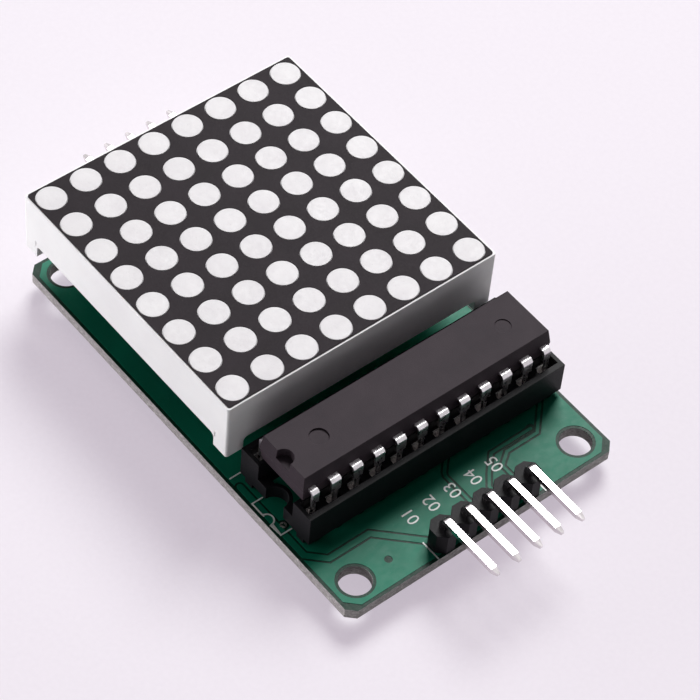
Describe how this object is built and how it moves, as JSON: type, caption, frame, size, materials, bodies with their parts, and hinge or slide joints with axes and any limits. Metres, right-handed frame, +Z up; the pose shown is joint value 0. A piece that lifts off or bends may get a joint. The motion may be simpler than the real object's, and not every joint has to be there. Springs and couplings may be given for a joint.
{
  "type": "led dot matrix",
  "caption": "Small driver board carrying a square LED dot matrix display, a socketed driver chip and a bent pin header at each end.",
  "frame": {"origin": "under the centre of the circuit board, at the level of the trimmed pin tails that the module stands on", "axes": "+X along the board towards the input header, away from the display; +Y across the board; +Z up, out of the display's face"},
  "size_m": [0.0624, 0.032, 0.013],
  "materials": {
    "solder_mask": "satin",
    "white_moulding": "satin",
    "black_print": "matt",
    "cast_resin": "satin",
    "led_die": "glossy",
    "laminate": "matt",
    "potting_resin": "satin",
    "tinned_lead": "satin",
    "plated_pin": "bright",
    "contact_metal": "bright",
    "chip_moulding": "satin",
    "black_moulding": "satin",
    "can_sleeve": "satin sleeve over aluminium",
    "rubber_bung": "matt",
    "ceramic_dip": "glossy",
    "resistor_coat": "glossy",
    "solder": "bright"
  },
  "bodies": {
    "root": {"circuit_board": "solder_mask", "display_shell": "white_moulding", "display_face": "black_print", "display_dots": "cast_resin", "led_dies": "led_die", "display_substrate": "laminate", "display_potting": "potting_resin", "display_pins_left": "tinned_lead", "display_pins_right": "tinned_lead", "matrix_socket_left": "black_moulding", "matrix_socket_right": "black_moulding", "matrix_contacts_left": "contact_metal", "matrix_contacts_right": "contact_metal", "chip_body": "chip_moulding", "chip_leads_left": "tinned_lead", "chip_leads_right": "tinned_lead", "chip_socket": "black_moulding", "chip_contacts_left": "contact_metal", "chip_contacts_right": "contact_metal", "input_strip": "black_moulding", "output_strip": "black_moulding", "input_pin_1": "plated_pin", "input_pin_2": "plated_pin", "input_pin_3": "plated_pin", "input_pin_4": "plated_pin", "input_pin_5": "plated_pin", "output_pin_1": "plated_pin", "output_pin_2": "plated_pin", "output_pin_3": "plated_pin", "output_pin_4": "plated_pin", "output_pin_5": "plated_pin", "capacitor_can": "can_sleeve", "capacitor_bung": "rubber_bung", "capacitor_leads": "tinned_lead", "ceramic_capacitor": "ceramic_dip", "ceramic_leads": "tinned_lead", "resistor_body": "resistor_coat", "resistor_leads": "tinned_lead", "solder_matrix_left": "solder", "solder_matrix_right": "solder", "solder_chip_left": "solder", "solder_chip_right": "solder", "solder_input": "solder", "solder_output": "solder", "solder_small_parts": "solder"}
  },
  "joints": []
}
